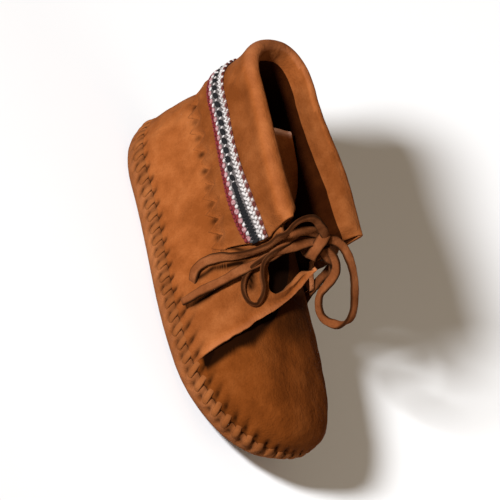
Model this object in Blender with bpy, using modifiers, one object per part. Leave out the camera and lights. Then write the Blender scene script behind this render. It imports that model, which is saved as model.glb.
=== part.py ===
"""Soft suede toddler bootie for the wearer's right foot, empty and standing on its sole.

Frame: metres, +Z up, floor at Z = 0, toe toward -Y, wearer's right side toward -X.
The tables below are in millimetres. "s" is the distance from the heel's back, along the shoe.
Round the shoe runs "c": 0 at the toe, 1 at the heel's back by way of the wearer's right side,
and from 1 to 2 back to the toe by way of the left side.
"""
import math

import bmesh
import bpy
from mathutils import Vector

# ---------------------------------------------------------------- named sizes, millimetres
LENGTH = 126.0
MIDDLE_S = 62.0          # s and x of the middle of the shoe's box, which stands on the origin
MIDDLE_X = -1.45
SIDE_CURVE = -2.5        # the middle of the shoe bows out to the wearer's right
TOE_SPRING = 6.0         # rise of the toe's tip
SPRING_START = 88.0      # the sole is flat on the floor from the heel to here
SPRING_TOP = 34.0        # the spring has faded out at this height
CAP_END = 0.34           # c where the round toe ends
HEEL_START = 0.80        # c where the round heel starts
HEEL_SQUARE = 2.15       # 2 would be an ellipse

SOLE_WALL = 1.8
SOLE_RIM = 9.4
VAMP_WALL = 1.3
QUARTER_WALL = 1.4
QUARTER_FOOT_LIFT = 0.5  # the quarter bites into the vamp at the seam
FLAP_LIFT = 1.9          # and rides over it above the seam
INSOLE_THICK = 1.2
INSOLE_FLOOR = 2.1
TONGUE_THICK = 1.5

COLLAR_BACK = 60.6       # height of the rolled collar at the heel
COLLAR_FALL = 0.040      # mm lower for each mm toward the toe
THROAT_TOP = 45.0        # top of the left flap, under the lace
CUFF_WALL = 1.5
CUFF_FRONT = 63.0        # s of the cuff's right front end
CUFF_FRONT_MORE = 2.0    # the left one reaches this much further
CUFF_HEEL = 16.0         # behind this s the teeth follow the heel's curve
ROLL_DEPTH = 3.3
TEETH = 25
TOOTH_DEPTH = 4.4
EDGE_BACK = 34.5         # height of the notches between the teeth, at the heel
EDGE_FALL = 0.07

THONG_WIDTH = 2.4        # the flat thong, drawn as a round cord

# height, heel's back, toe's front, half widths of heel and ball, lengths of the two round
# ends, and squareness of the toe's end: 2 is an ellipse
FORM_COLUMNS = ("z", "back", "front", "right_heel", "right_ball", "left_heel", "left_ball",
                "toe_cap", "heel_cap", "square")
FORM = [
    (0.0, 8.0, 116.0, 16.0, 21.8, 16.0, 21.8, 31.0, 19.0, 2.30),
    (1.5, 5.8, 121.0, 18.6, 25.4, 19.0, 25.8, 35.0, 21.0, 2.42),
    (4.0, 4.2, 124.7, 20.3, 27.7, 21.0, 28.6, 38.0, 23.0, 2.52),
    (7.0, 3.4, 126.0, 21.1, 28.8, 21.8, 30.0, 39.0, 23.0, 2.58),
    (12.0, 3.0, 126.2, 21.3, 28.6, 21.8, 30.4, 39.0, 23.0, 2.58),
    (18.0, 2.6, 125.4, 20.9, 26.9, 21.0, 29.4, 39.0, 21.0, 2.52),
    (22.0, 2.5, 123.5, 20.4, 25.0, 20.4, 27.4, 40.0, 20.0, 2.44),
    (25.0, 2.5, 120.8, 20.1, 23.7, 20.0, 25.8, 41.0, 19.0, 2.36),
    (27.6, 2.6, 115.5, 19.9, 22.4, 19.7, 23.8, 41.0, 18.0, 2.28),
    (30.0, 2.8, 104.0, 19.7, 21.3, 19.3, 21.8, 38.0, 18.0, 2.2),
    (32.4, 3.0, 92.5, 19.5, 20.5, 18.9, 20.2, 35.0, 17.0, 2.2),
    (35.0, 3.1, 83.0, 19.3, 20.0, 18.4, 18.9, 32.0, 17.0, 2.2),
    (38.0, 3.0, 76.5, 19.2, 19.8, 17.7, 17.8, 30.0, 16.0, 2.25),
    (44.0, 2.4, 72.0, 19.2, 20.4, 16.2, 17.6, 28.0, 15.0, 2.4),
    (48.0, 2.0, 71.0, 19.3, 21.2, 14.8, 17.8, 27.0, 15.0, 2.7),
    (52.0, 1.6, 74.0, 19.4, 21.8, 13.2, 18.2, 27.0, 14.0, 3.0),
    (60.0, 0.4, 82.0, 19.8, 22.8, 10.2, 18.6, 26.0, 14.0, 3.2),
]

# under the flaps the vamp runs on to the instep, lower than the form above
VAMP_FORM = FORM[:9] + [
    (30.0, 2.8, 103.4, 19.7, 21.0, 19.3, 20.8, 38.0, 18.0, 2.15),
    (32.4, 3.0, 89.5, 19.5, 19.2, 18.9, 18.6, 36.0, 17.0, 2.15),
    (34.5, 3.1, 79.5, 19.3, 17.6, 18.4, 16.6, 34.0, 17.0, 2.15),
    (36.5, 3.0, 71.5, 19.2, 16.0, 17.7, 15.0, 31.0, 16.0, 2.15),
    (38.5, 2.8, 64.0, 19.2, 14.6, 17.2, 13.6, 27.0, 16.0, 2.15),
    (40.5, 2.7, 57.0, 19.2, 13.4, 16.8, 12.4, 24.0, 16.0, 2.15),
]

# c of the quarter's free front edges, and of the vamp's hidden tails
EDGE_COLUMNS = ("z", "flap_right", "flap_left", "tail_right", "tail_left")
EDGES = [
    (9.0, 0.318, 0.445, 0.43, 0.54),
    (18.0, 0.321, 0.440, 0.425, 0.53),
    (24.0, 0.303, 0.422, 0.42, 0.52),
    (27.0, 0.280, 0.375, 0.39, 0.49),
    (29.0, 0.245, 0.328, 0.37, 0.47),
    (31.0, 0.193, 0.288, 0.345, 0.43),
    (33.0, 0.132, 0.255, 0.315, 0.385),
    (35.0, 0.071, 0.230, 0.280, 0.335),
    (37.0, 0.020, 0.212, 0.232, 0.275),
    (39.0, 0.000, 0.200, 0.20, 0.22),
    (45.0, -0.015, 0.150, 0.18, 0.18),
    (60.0, -0.015, 0.140, 0.18, 0.18),
]

# the throat: height of the quarter's top against c from its right front edge, which ends in a
# narrow tip under the bow
THROAT_COLUMNS = ("from_edge", "top")
THROAT = [
    (0.0, 46.0),
    (0.010, 44.8),
    (0.018, 42.8),
    (0.027, 40.0),
    (0.036, 37.0),
    (0.048, 35.4),
    (0.065, 35.0),
    (0.100, 36.0),
    (0.140, 38.2),
    (0.165, 41.5),
]

# the tongue lies back over the opening: s, height, half width, droop of its sides
TONGUE_COLUMNS = ("s", "z", "half", "droop", "shift")
TONGUE = [
    (69.0, 34.4, 7.0, 1.8, -1.5),
    (62.0, 36.4, 8.0, 2.0, -1.4),
    (56.0, 38.4, 9.0, 1.8, -1.3),
    (50.0, 40.9, 10.4, 1.4, -1.3),
    (44.0, 43.8, 11.6, 1.1, -1.6),
    (38.0, 46.2, 12.0, 0.8, -2.2),
    (32.0, 47.8, 11.4, 0.5, -2.6),
    (26.5, 48.6, 10.0, 0.2, -2.8),
]

# the lace's bar: from each cuff front up the flap's face as s, z, and over the throat as x, s, z
BAR = [(65.1, 30.5), (65.4, 34.0), (65.9, 38.0), (66.4, 41.4)]
BAR_OUT = 2.2            # from the flap's face to the middle of the thong
BAR_THROAT = [(-18.0, 66.6, 47.4), (-10.6, 66.8, 49.4), (-2.0, 67.0, 49.8), (5.6, 67.0, 49.8),
              (11.2, 67.8, 48.8), (15.4, 69.2, 46.2)]

# the bow's knot, loops and ends, as x, s, z
KNOT = [(-2.2, 63.4, 49.2), (-2.1, 63.9, 51.6), (-2.0, 65.4, 53.2), (-1.9, 67.4, 53.4),
        (-1.8, 69.4, 52.4), (-1.7, 70.8, 50.4), (-1.6, 71.2, 48.6)]
LOOP_RIGHT = [(-3.8, 66.6, 53.2), (-8.6, 65.8, 53.6), (-13.6, 65.6, 53.2), (-18.4, 66.8, 51.0),
              (-22.4, 69.0, 47.0), (-25.0, 71.4, 43.0), (-26.0, 75.0, 40.0), (-24.0, 78.6, 38.0),
              (-22.4, 81.6, 36.0), (-23.4, 84.6, 33.8), (-26.6, 84.2, 32.4), (-28.6, 80.6, 32.4),
              (-28.8, 76.6, 34.2), (-28.2, 74.4, 37.6)]
LOOP_LEFT = [(0.4, 66.4, 53.4), (4.4, 67.0, 54.0), (8.0, 69.4, 54.0), (10.2, 73.6, 53.4),
             (11.4, 78.4, 52.2), (11.8, 83.4, 50.4), (12.0, 87.8, 48.0), (11.6, 90.4, 45.0),
             (10.8, 90.8, 41.6), (9.8, 88.4, 38.8), (8.8, 84.8, 38.0), (8.0, 81.0, 39.4),
             (7.6, 78.4, 42.2), (7.0, 76.4, 46.0), (5.0, 74.2, 49.4)]
END_RIGHT = [(-3.4, 71.4, 50.0), (-8.6, 71.0, 49.4), (-14.0, 71.0, 47.6), (-19.0, 71.2, 44.0),
             (-23.0, 71.8, 39.6), (-26.4, 72.4, 35.0), (-29.6, 73.4, 29.6), (-32.2, 74.4, 23.0),
             (-34.0, 75.4, 17.0)]
END_LEFT = [(0.2, 71.4, 50.0), (5.0, 71.0, 50.2), (10.6, 71.6, 49.0), (15.6, 73.0, 45.8),
            (19.4, 73.0, 40.8), (22.2, 71.0, 34.0), (25.4, 71.8, 27.4), (28.6, 73.8, 20.6),
            (30.6, 75.6, 14.8)]

MM = 0.001
GOLD_SUEDE = (0.46, 0.155, 0.040, 1.0)
DARK_SUEDE = (0.36, 0.115, 0.030, 1.0)
LINING = (0.24, 0.080, 0.026, 1.0)


# ---------------------------------------------------------------- reading the tables
def read(table, columns, name, at):
    """Value of one named column at height or distance `at`, as a smooth monotone curve."""
    key = columns.index(name)
    rows = sorted(table)
    xs = [row[0] for row in rows]
    ys = [row[key] for row in rows]
    at = min(max(at, xs[0]), xs[-1])
    steps = [xs[i + 1] - xs[i] for i in range(len(xs) - 1)]
    slopes = [(ys[i + 1] - ys[i]) / steps[i] for i in range(len(steps))]
    tangents = [slopes[0]]
    for before, after in zip(slopes, slopes[1:]):
        tangents.append(2 * before * after / (before + after) if before * after > 0 else 0.0)
    tangents.append(slopes[-1])
    i = max(k for k in range(len(steps)) if xs[k] <= at)
    t = (at - xs[i]) / steps[i]
    return (ys[i] * (1 + 2 * t) * (1 - t) ** 2 + tangents[i] * steps[i] * t * (1 - t) ** 2
            + ys[i + 1] * t * t * (3 - 2 * t) + tangents[i + 1] * steps[i] * t * t * (t - 1))


def ease(t):
    """0 to 1 with level ends."""
    t = min(max(t, 0.0), 1.0)
    return t * t * (3 - 2 * t)


def mix(low, high, t):
    return low + (high - low) * t


# ---------------------------------------------------------------- the shoe's form
def plan_point(c, z, table):
    """Side distance x and length s of the form's outline at height z."""
    c = c % 2.0
    right = c <= 1.0
    around = c if right else 2.0 - c
    side = "right" if right else "left"
    size = {name: read(table, FORM_COLUMNS, name, z)
            for name in ("back", "front", side + "_heel", side + "_ball", "toe_cap", "heel_cap",
                         "square")}
    ball_s = size["front"] - size["toe_cap"]
    heel_s = size["back"] + size["heel_cap"]
    ball = size[side + "_ball"]
    heel = size[side + "_heel"]
    power = 2.0 / size["square"]
    if around < CAP_END:
        turn = around / CAP_END * math.pi / 2
        s = ball_s + size["toe_cap"] * math.cos(turn) ** power
        x = ball * math.sin(turn) ** power
    elif around < HEEL_START:
        t = (around - CAP_END) / (HEEL_START - CAP_END)
        s = mix(ball_s, heel_s, t)
        x = mix(ball, heel, ease(t))
    else:
        turn = (around - HEEL_START) / (1 - HEEL_START) * math.pi / 2
        s = heel_s - size["heel_cap"] * math.sin(turn) ** (2.0 / HEEL_SQUARE)
        x = heel * max(math.cos(turn), 0.0) ** (2.0 / HEEL_SQUARE)
    x = -x if right else x
    return x, s


def lift_at(s, z):
    """Toe spring at distance s and height z."""
    along = min(max((s - SPRING_START) / (LENGTH - SPRING_START), 0.0), 1.0)
    fade = min(max((SPRING_TOP - z) / 24.0, 0.0), 1.0)
    return TOE_SPRING * along ** 2 * fade


def at_frame(x, s, z):
    """From shoe sizes in millimetres to the frame."""
    return Vector(((x - MIDDLE_X) * MM, (MIDDLE_S - s) * MM, z * MM))


def place(x, s, z):
    """The same for a point of the straight form: bowed sideways and sprung at the toe."""
    bow = SIDE_CURVE * math.sin(math.pi * min(max(s / LENGTH, 0.0), 1.0))
    return at_frame(x + bow, s, z + lift_at(s, z))


def form_point(c, z, out=0.0, table=FORM):
    """Point of the form's surface, moved `out` millimetres along its outward normal."""
    def at(c, z):
        return place(*plan_point(c, z, table), z)

    low = max(z - 0.4, table[0][0])
    high = min(z + 0.4, table[-1][0])
    up = at(c, high) - at(c, low)
    along = at(c + 0.004, z) - at(c - 0.004, z)
    return at(c, z) + up.cross(along).normalized() * out * MM


def around_at(s, z, side, table=FORM):
    """c, from 0 to 1, where the outline at height z is `s` from the heel's back."""
    low, high = 0.0, 1.0
    for _ in range(40):
        middle = (low + high) / 2
        c = middle if side == "right" else 2.0 - middle
        if plan_point(c, z, table)[1] > s:
            low = middle
        else:
            high = middle
    return (low + high) / 2


def edge(name, z):
    return read(EDGES, EDGE_COLUMNS, name, z)


# ---------------------------------------------------------------- building helpers
def material(name, color, roughness):
    mat = bpy.data.materials.new(name)
    mat.use_nodes = True
    shader = mat.node_tree.nodes["Principled BSDF"]
    shader.inputs["Base Color"].default_value = color
    shader.inputs["Roughness"].default_value = roughness
    mat.diffuse_color = color
    return mat


def add_object(name, mesh, collection, mat):
    obj = bpy.data.objects.new(name, mesh)
    mesh.materials.append(mat)
    collection.objects.link(obj)
    return obj


def grid_mesh(name, rows, closed=False):
    """Quads between neighbouring rows of points; closed joins each row's ends.

    Rows run upward and their points the way c runs, which faces the sheet outward.
    """
    width = len(rows[0])
    points = [point for row in rows for point in row]
    faces = []
    for r in range(len(rows) - 1):
        for k in range(width if closed else width - 1):
            n = (k + 1) % width
            faces.append((r * width + k, (r + 1) * width + k, (r + 1) * width + n, r * width + n))
    mesh = bpy.data.meshes.new(name)
    mesh.from_pydata(points, [], faces)
    mesh.update()
    return mesh


def thicken(obj, wall):
    """Gives a sheet its wall, to the inside of the face it was drawn on."""
    shell = obj.modifiers.new("wall", "SOLIDIFY")
    shell.thickness = wall * MM
    shell.offset = -1.0
    shell.use_even_offset = True
    return obj


def join_close(mesh, reach=0.00002):
    """Joins points that lie on one another."""
    form = bmesh.new()
    form.from_mesh(mesh)
    bmesh.ops.remove_doubles(form, verts=form.verts, dist=reach)
    form.to_mesh(mesh)
    form.free()
    return mesh


def smooth_path(points, count):
    """Points along a Catmull-Rom curve through the given ones, evenly numbered."""
    ends = [points[0] * 2 - points[1]] + list(points) + [points[-1] * 2 - points[-2]]
    out = []
    for k in range(count):
        step = k / (count - 1) * (len(points) - 1)
        i = min(int(step), len(points) - 2)
        t = step - i
        a, b, c, d = ends[i:i + 4]
        out.append(0.5 * (2 * b + (c - a) * t + (2 * a - 5 * b + 4 * c - d) * t * t
                          + (3 * b - a - 3 * c + d) * t ** 3))
    return out


def tube(name, points, width, collection, mat):
    """Round cord through the points, with flat closed ends."""
    curve = bpy.data.curves.new(name, "CURVE")
    curve.dimensions = "3D"
    curve.bevel_depth = width / 2 * MM
    curve.bevel_resolution = 2
    curve.use_fill_caps = True
    line = curve.splines.new("POLY")
    line.points.add(len(points) - 1)
    for knot, point in zip(line.points, points):
        knot.co = (*point, 1.0)
    obj = bpy.data.objects.new(name, curve)
    curve.materials.append(mat)
    collection.objects.link(obj)
    return obj


# ---------------------------------------------------------------- sole and insole
def floor_rows(z, shrink, across):
    """Rings from the shoe's middle line out to the flat outline at height z."""
    middle_s = LENGTH / 2
    rows = []
    for part in (0.0, 0.5, 1.0):
        row = []
        for k in range(across):
            x, s = plan_point(2.0 * k / across, 0.0, FORM)
            half = abs(x)
            x *= max(half - shrink, 0.0) / half if half > 0.01 else 0.0
            s = middle_s + (s - middle_s) * (1 - shrink / middle_s)
            row.append(place(x * part, middle_s + (s - middle_s) * mix(0.72, 1.0, part), z))
        rows.append(row)
    return rows


def build_sole(collection):
    """Soft sole: flat underneath, wrapped up all round to the seam."""
    across = 52
    rows = floor_rows(0.0, 0.0, across)
    for z in (0.7, 1.8, 3.6, 6.2, SOLE_RIM):
        rows.append([form_point(2.0 * k / across, z) for k in range(across)])
    mesh = join_close(grid_mesh("sole", rows, closed=True))
    sole = add_object("sole", mesh, collection, material("sole_suede", DARK_SUEDE, 0.9))
    return thicken(sole, SOLE_WALL)


def build_insole(collection):
    """Flat lining sheet lying in the sole."""
    rows = floor_rows(INSOLE_FLOOR, 0.8, 44)
    mesh = join_close(grid_mesh("insole", rows, closed=True))
    insole = add_object("insole", mesh, collection, material("insole_lining", LINING, 0.95))
    shell = thicken(insole, INSOLE_THICK).modifiers["wall"]
    shell.use_even_offset = False
    return insole


# ---------------------------------------------------------------- upper
def quarter_out(c, z):
    """How far the quarter rides outside the form: over the vamp it steps out by the vamp."""
    c = c % 2.0
    side = "right" if c <= 1.0 else "left"
    around = min(c, 2.0 - c)
    over = 1.0 - ease((around - edge("tail_" + side, z)) / 0.08)
    rise = ease((z - 11.0) / 7.0)
    return over * mix(QUARTER_FOOT_LIFT, FLAP_LIFT, rise)


def collar_top(s):
    return COLLAR_BACK - COLLAR_FALL * s


def throat_top(part, width, c):
    """Height of the quarter's top edge, part of the way round its width in c."""
    s = plan_point(c, 52.0, FORM)[1]
    high = collar_top(min(s, CUFF_FRONT)) - ROLL_DEPTH
    if part < 0.5:
        from_edge = part * width
        low = read(THROAT, THROAT_COLUMNS, "top", from_edge)
        return mix(low, high, ease((from_edge - 0.175) / 0.075))
    return mix(THROAT_TOP, high, ease((2.0 - c - 0.185) / 0.07))


def quarter_parts():
    """Columns of the quarter, close together at the right flap's tip."""
    front = [0.0, 0.007, 0.013, 0.019, 0.026, 0.036, 0.050, 0.066, 0.080, 0.093, 0.106, 0.120]
    rest = [mix(front[-1], 1.0, k / 48) for k in range(1, 49)]
    return front + rest


def quarter_sheet(collection, mat):
    """Heel, both sides and the two front flaps, up into the cuff's roll."""
    levels = (10.0, 13.0, 17.0, 21.0, 24.5, 27.0, 29.0, 31.0, 33.0)
    above = (0.2, 0.4, 0.6, 0.8, 1.0)
    rows = [[] for _ in range(len(levels) + len(above))]
    for part in quarter_parts():
        first, last = edge("flap_right", 45.0), 2.0 - edge("flap_left", 45.0)
        top = throat_top(part, last - first, mix(first, last, part))
        heights = levels + tuple(mix(levels[-1], top, t) for t in above)
        for row, z in zip(rows, heights):
            c = mix(edge("flap_right", z), 2.0 - edge("flap_left", z), part)
            row.append(form_point(c, z, quarter_out(c, z)))
    sheet = add_object("quarter_sheet", grid_mesh("quarter_sheet", rows), collection, mat)
    return thicken(sheet, QUARTER_WALL)


def vamp_sheet(collection, mat):
    """Toe piece, puckered into the sole and running on under the flaps to the instep."""
    across = 30
    levels = (9.8, 13.0, 17.0, 20.5, 23.5, 26.0, 28.0, 30.0, 32.4, 34.4, 36.2, 38.0)
    rows = []
    for z in levels:
        first, last = -edge("tail_left", z), edge("tail_right", z)
        rows.append([form_point(mix(first, last, k / across), z, 0.0, VAMP_FORM)
                     for k in range(across + 1)])
    sheet = add_object("vamp_sheet", grid_mesh("vamp_sheet", rows), collection, mat)
    return thicken(sheet, VAMP_WALL)


def build_upper(collection, cutters):
    """One hollow solid: the quarter with its flaps, joined to the vamp along the seam."""
    mat = material("upper_suede", GOLD_SUEDE, 0.9)
    vamp = vamp_sheet(cutters, mat)
    vamp.hide_render = True
    vamp.display_type = "WIRE"
    quarter = quarter_sheet(collection, mat)
    joint = quarter.modifiers.new("join", "BOOLEAN")
    joint.operation = "UNION"
    joint.solver = "EXACT"
    joint.object = vamp
    quarter.name = "upper"
    return quarter


# ---------------------------------------------------------------- tongue
def build_tongue(collection):
    """Flap sewn under the vamp's end, lying slack over the opening."""
    stations = (26.5, 30.5, 35.0, 40.0, 45.0, 50.0, 55.0, 60.0, 64.5, 69.0)
    columns = 8
    rows = []
    for s in stations:
        height, half, droop, shift = (read(TONGUE, TONGUE_COLUMNS, name, s)
                                      for name in ("z", "half", "droop", "shift"))
        row = []
        for k in range(columns + 1):
            side = 2.0 * k / columns - 1.0
            row.append(at_frame(shift + side * half, s, height - droop * side * side))
        rows.append(row)
    mesh = grid_mesh("tongue", rows)
    tongue = add_object("tongue", mesh, collection, material("tongue_suede", LINING, 0.9))
    return thicken(tongue, TONGUE_THICK)


# ---------------------------------------------------------------- cuff
def cuff_profile(s, tooth):
    """Rows of (distance out, height) from the toothed edge up, over the roll and inside."""
    top = collar_top(s)
    bottom = EDGE_BACK - EDGE_FALL * s
    middle = top - ROLL_DEPTH
    rows = [(2.6, bottom - tooth), (2.8, bottom + 2.0), (2.9, 39.0), (2.9, 43.0), (3.0, 47.0),
            (3.0, 51.5), (3.0, middle)]
    for turn in (40, 75, 110, 145):
        angle = math.radians(turn)
        rows.append((mix(-0.25, 3.0, math.cos(angle)), middle + ROLL_DEPTH * math.sin(angle)))
    return rows + [(-3.6, middle), (-3.6, top - 9.0), (-3.6, top - 14.0)]


def cuff_line():
    """Length gone along the cuff, from its right front end, and s there, in even steps of c."""
    first = around_at(CUFF_FRONT, 40.0, "right")
    last = 2.0 - around_at(CUFF_FRONT, 40.0, "left")
    line = []
    gone = 0.0
    before = None
    for k in range(301):
        x, s = plan_point(mix(first, last, k / 300), 40.0, FORM)
        if before is not None:
            gone += math.dist(before, (x, s))
        before = (x, s)
        line.append((gone, s))
    return [(gone_here / gone, s) for gone_here, s in line]


def along_line(line, column, value, side=None):
    """Linear reading of the cuff's line: the other column where `column` has the value."""
    turn = min(range(len(line)), key=lambda k: line[k][1])
    part = {"right": line[:turn + 1][::-1], "left": line[turn:], None: line}[side]
    other = 1 - column
    for start, end in zip(part, part[1:]):
        if start[column] <= value <= end[column]:
            span = max(end[column] - start[column], 1e-9)
            return mix(start[other], end[other], (value - start[column]) / span)
    return part[-1][other] if value > part[-1][column] else part[0][other]


def cuff_c(along, z, line):
    """c at height z for a column of the cuff; its sides are laid out by s, the heel by c."""
    s = max(along_line(line, 0, along), CUFF_HEEL)
    start = along_line(line, 1, CUFF_HEEL, "right")
    end = along_line(line, 1, CUFF_HEEL, "left")
    right = around_at(s, z, "right")
    left = 2.0 - around_at(s + CUFF_FRONT_MORE * s / CUFF_FRONT, z, "left")
    return mix(right, left, min(max((along - start) / (end - start), 0.0), 1.0))


def build_cuff(collection):
    """Turned-down collar with a rolled top and a sawtooth lower edge, open at the front."""
    line = cuff_line()
    columns = []
    for k in range(2 * TEETH + 1):
        along = k / (2 * TEETH)
        s = along_line(line, 0, along)
        tooth = TOOTH_DEPTH if k % 2 else 0.0
        column = []
        for out, z in cuff_profile(s, tooth):
            c = cuff_c(along, z, line)
            ride = quarter_out(c, z) if out > 0 else 0.0
            column.append(form_point(c, min(z, 59.8), out + ride)
                          + Vector((0.0, 0.0, max(z - 59.8, 0.0) * MM)))
        columns.append(column)
    rows = [list(row) for row in zip(*columns)]
    cuff = add_object("cuff", grid_mesh("cuff", rows), collection,
                      material("cuff_suede", GOLD_SUEDE, 0.9))
    return thicken(cuff, CUFF_WALL)


# ---------------------------------------------------------------- lace
def bar_path():
    """From the cuff's right front corner over the throat to the left one."""
    sides = {}
    for side in ("right", "left"):
        sides[side] = []
        for s, z in BAR:
            ahead = s if side == "right" else s + CUFF_FRONT_MORE + 1.2
            around = around_at(ahead, z, side)
            c = around if side == "right" else 2.0 - around
            sides[side].append(form_point(c, z, BAR_OUT + quarter_out(c, z)))
    return sides["right"] + bow_points(BAR_THROAT) + sides["left"][::-1]


def bow_points(rows):
    return [at_frame(x, s, z) for x, s, z in rows]


def build_lace(collection):
    mat = material("lace_suede", GOLD_SUEDE, 0.85)
    tube("lace_bar", smooth_path(bar_path(), 27), THONG_WIDTH, collection, mat)
    cords = {
        "lace_knot": (bow_points(KNOT), 9),
        "lace_loop_right": (bow_points(LOOP_RIGHT), 17),
        "lace_loop_left": (bow_points(LOOP_LEFT), 12),
        "lace_end_right": (bow_points(END_RIGHT), 10),
        "lace_end_left": (bow_points(END_LEFT), 10),
    }
    for name, (points, count) in cords.items():
        tube(name, smooth_path(points, count), THONG_WIDTH, collection, mat)


# ---------------------------------------------------------------- the bootie
def main():
    for obj in list(bpy.data.objects):
        bpy.data.objects.remove(obj, do_unlink=True)
    bootie = bpy.data.collections.new("bootie")
    cutters = bpy.data.collections.new("cutters")
    bpy.context.scene.collection.children.link(bootie)
    bpy.context.scene.collection.children.link(cutters)
    cutters.hide_render = True
    build_sole(bootie)
    build_insole(bootie)
    build_upper(bootie, cutters)
    build_tongue(bootie)
    build_cuff(bootie)
    build_lace(bootie)


main()
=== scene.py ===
"""Looks of a soft suede toddler bootie for the right foot, standing empty on its sole.

Metres, floor at Z = 0, toe toward -Y, wearer's right side toward -X. The tables are in
millimetres, in the shoe's own sizes: x across, s from the heel's back, z up. Round the shoe
runs c: 0 at the toe, 1 at the heel by way of the right side, 2 at the toe again.
"""
import math

import bmesh
import bpy
import numpy as np
from mathutils import Matrix, Vector


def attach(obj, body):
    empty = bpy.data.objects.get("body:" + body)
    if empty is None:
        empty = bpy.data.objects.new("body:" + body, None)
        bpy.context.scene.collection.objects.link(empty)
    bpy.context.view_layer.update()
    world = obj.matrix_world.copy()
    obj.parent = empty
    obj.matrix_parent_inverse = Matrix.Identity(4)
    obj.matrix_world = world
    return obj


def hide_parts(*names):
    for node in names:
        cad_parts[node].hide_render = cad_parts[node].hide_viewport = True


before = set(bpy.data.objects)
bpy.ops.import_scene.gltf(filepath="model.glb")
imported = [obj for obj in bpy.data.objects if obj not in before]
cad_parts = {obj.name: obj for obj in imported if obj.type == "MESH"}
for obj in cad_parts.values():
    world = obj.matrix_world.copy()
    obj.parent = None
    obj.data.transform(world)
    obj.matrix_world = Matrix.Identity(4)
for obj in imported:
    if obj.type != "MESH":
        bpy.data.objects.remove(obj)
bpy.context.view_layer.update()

# -------- named sizes, millimetres
MM = 0.001
LENGTH = 126.0
MIDDLE_S = 62.0          # s and x at the frame's origin
MIDDLE_X = -1.45
SIDE_CURVE = -2.5        # how far the outline bows sideways
TOE_SPRING = 6.0
SPRING_START = 88.0      # from this s on the toe rises
SPRING_TOP = 34.0        # but not above this height
SPRING_FADE = 24.0
CAP_END = 0.34           # c where the toe's round ends
HEEL_START = 0.80        # and where the heel's begins
HEEL_SQUARE = 2.15
FORM_TOP = 59.8          # above this height the cuff goes straight up

SEAM_Z = 9.4             # where sole and upper meet
SOLE_WALL = 1.8
INSOLE_WALL = 1.2
INSOLE_Z = 3.3
INSOLE_GAP = 1.0         # between the insole's edge and the outline
VAMP_WALL = 1.3
VAMP_TOP = 40.5
QUARTER_WALL = 1.6
FLAP_LIFT = 1.9          # how far the flaps ride outside the form over the vamp
FLAP_START = 0.5         # and at the seam
TONGUE_WALL = 1.5
TONGUE_FREE = 25.8       # s of the tongue's free end
TONGUE_FRONT = 69.0
THROAT_TOP = 45.0        # height of the quarter's top at its left front edge

COLLAR_BACK = 60.6       # height of the collar's top at the heel, and its fall toward the front
COLLAR_FALL = 0.040
EDGE_BACK = 34.5         # the same for the toothed edge
EDGE_FALL = 0.07
CUFF_WALL = 1.4
CUFF_FRONT = 63.0
CUFF_FRONT_MORE = 2.0    # the left front end reaches a little further
CUFF_HEEL = 16.0         # behind this s the teeth follow the heel's curve
CUFF_LENGTH = 148.0
CUFF_Z = 40.0            # height at which the cuff's length is shared out
CUFF_OUT = 2.85          # how far its fall stands out from the form
ROLL_DEPTH = 3.3         # from the roll's top to its middle
ROLL_HEEL = 2.45         # half thickness of the roll at the heel
ROLL_FRONT = 4.0         # and at the front
ROLL_OUT = 3.7           # how far the roll stands out from the form
ROLL_LOW = 4.5           # below its middle the roll ends and the flat fall starts
QUARTER_HIDDEN = 3.4     # how far below the roll's middle the quarter ends
CUFF_INSIDE_ROW = 41     # from this row of the cuff on, its dark inside is turned out
TEETH = 25
TOOTH_DEPTH = 4.4
BRAID_OUT = 3.05
BRAID_WALL = 0.45
BEAD_LIFT = 0.35

THONG_WIDTH = 3.2
THONG_THICK = 1.4
STITCH_BACK = 4.5        # pitch of the whip stitch behind the flaps
STITCH_TOE = 4.9         # and round the toe
STITCH_LOW = 5.3         # height of its lower holes
STITCH_HIGH_BACK = 11.0  # and of the upper ones
STITCH_HIGH_TOE = 12.6

# the camera: degrees to the shoe's right, up and rolled, and the point that it looks at, metres
CAMERA_AZIMUTH, CAMERA_RISE, CAMERA_ROLL = -71.0, 27.5, 63.3
CAMERA_TARGET = (0.00145, -0.001, 0.028)
CAMERA_DOWN_RIGHT = 0.0036   # the shoe stands this far down and to the right of the middle

# heights of the rows near the seam
SOLE_LEVELS = (0.4, 1.0, 1.8, 2.7, 3.6, 4.4, 5.1, 5.7, 6.2, 6.7, 7.2, 7.7, 8.2, 8.7, 9.1, 9.4,
               9.6)
VAMP_LEVELS = (9.5, 9.8, 10.2, 10.7, 11.3, 11.9, 12.5, 13.1, 13.8, 14.6, 15.5)
QUARTER_LEVELS = (9.5, 9.8, 10.2, 10.7, 11.2, 11.7, 12.3, 12.9, 13.7, 14.6)
# the cuff's inside below the roll's middle: how far out from an even slope, and how far down
CUFF_INSIDE = ((0.0, 0.0), (-0.35, 3.0), (-0.6, 7.0), (-0.7, 12.0), (-0.7, 17.0), (-0.7, 23.0),
               (-0.6, 29.0))
CUFF_INSIDE_END = -2.6   # how far out the slope ends

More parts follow.
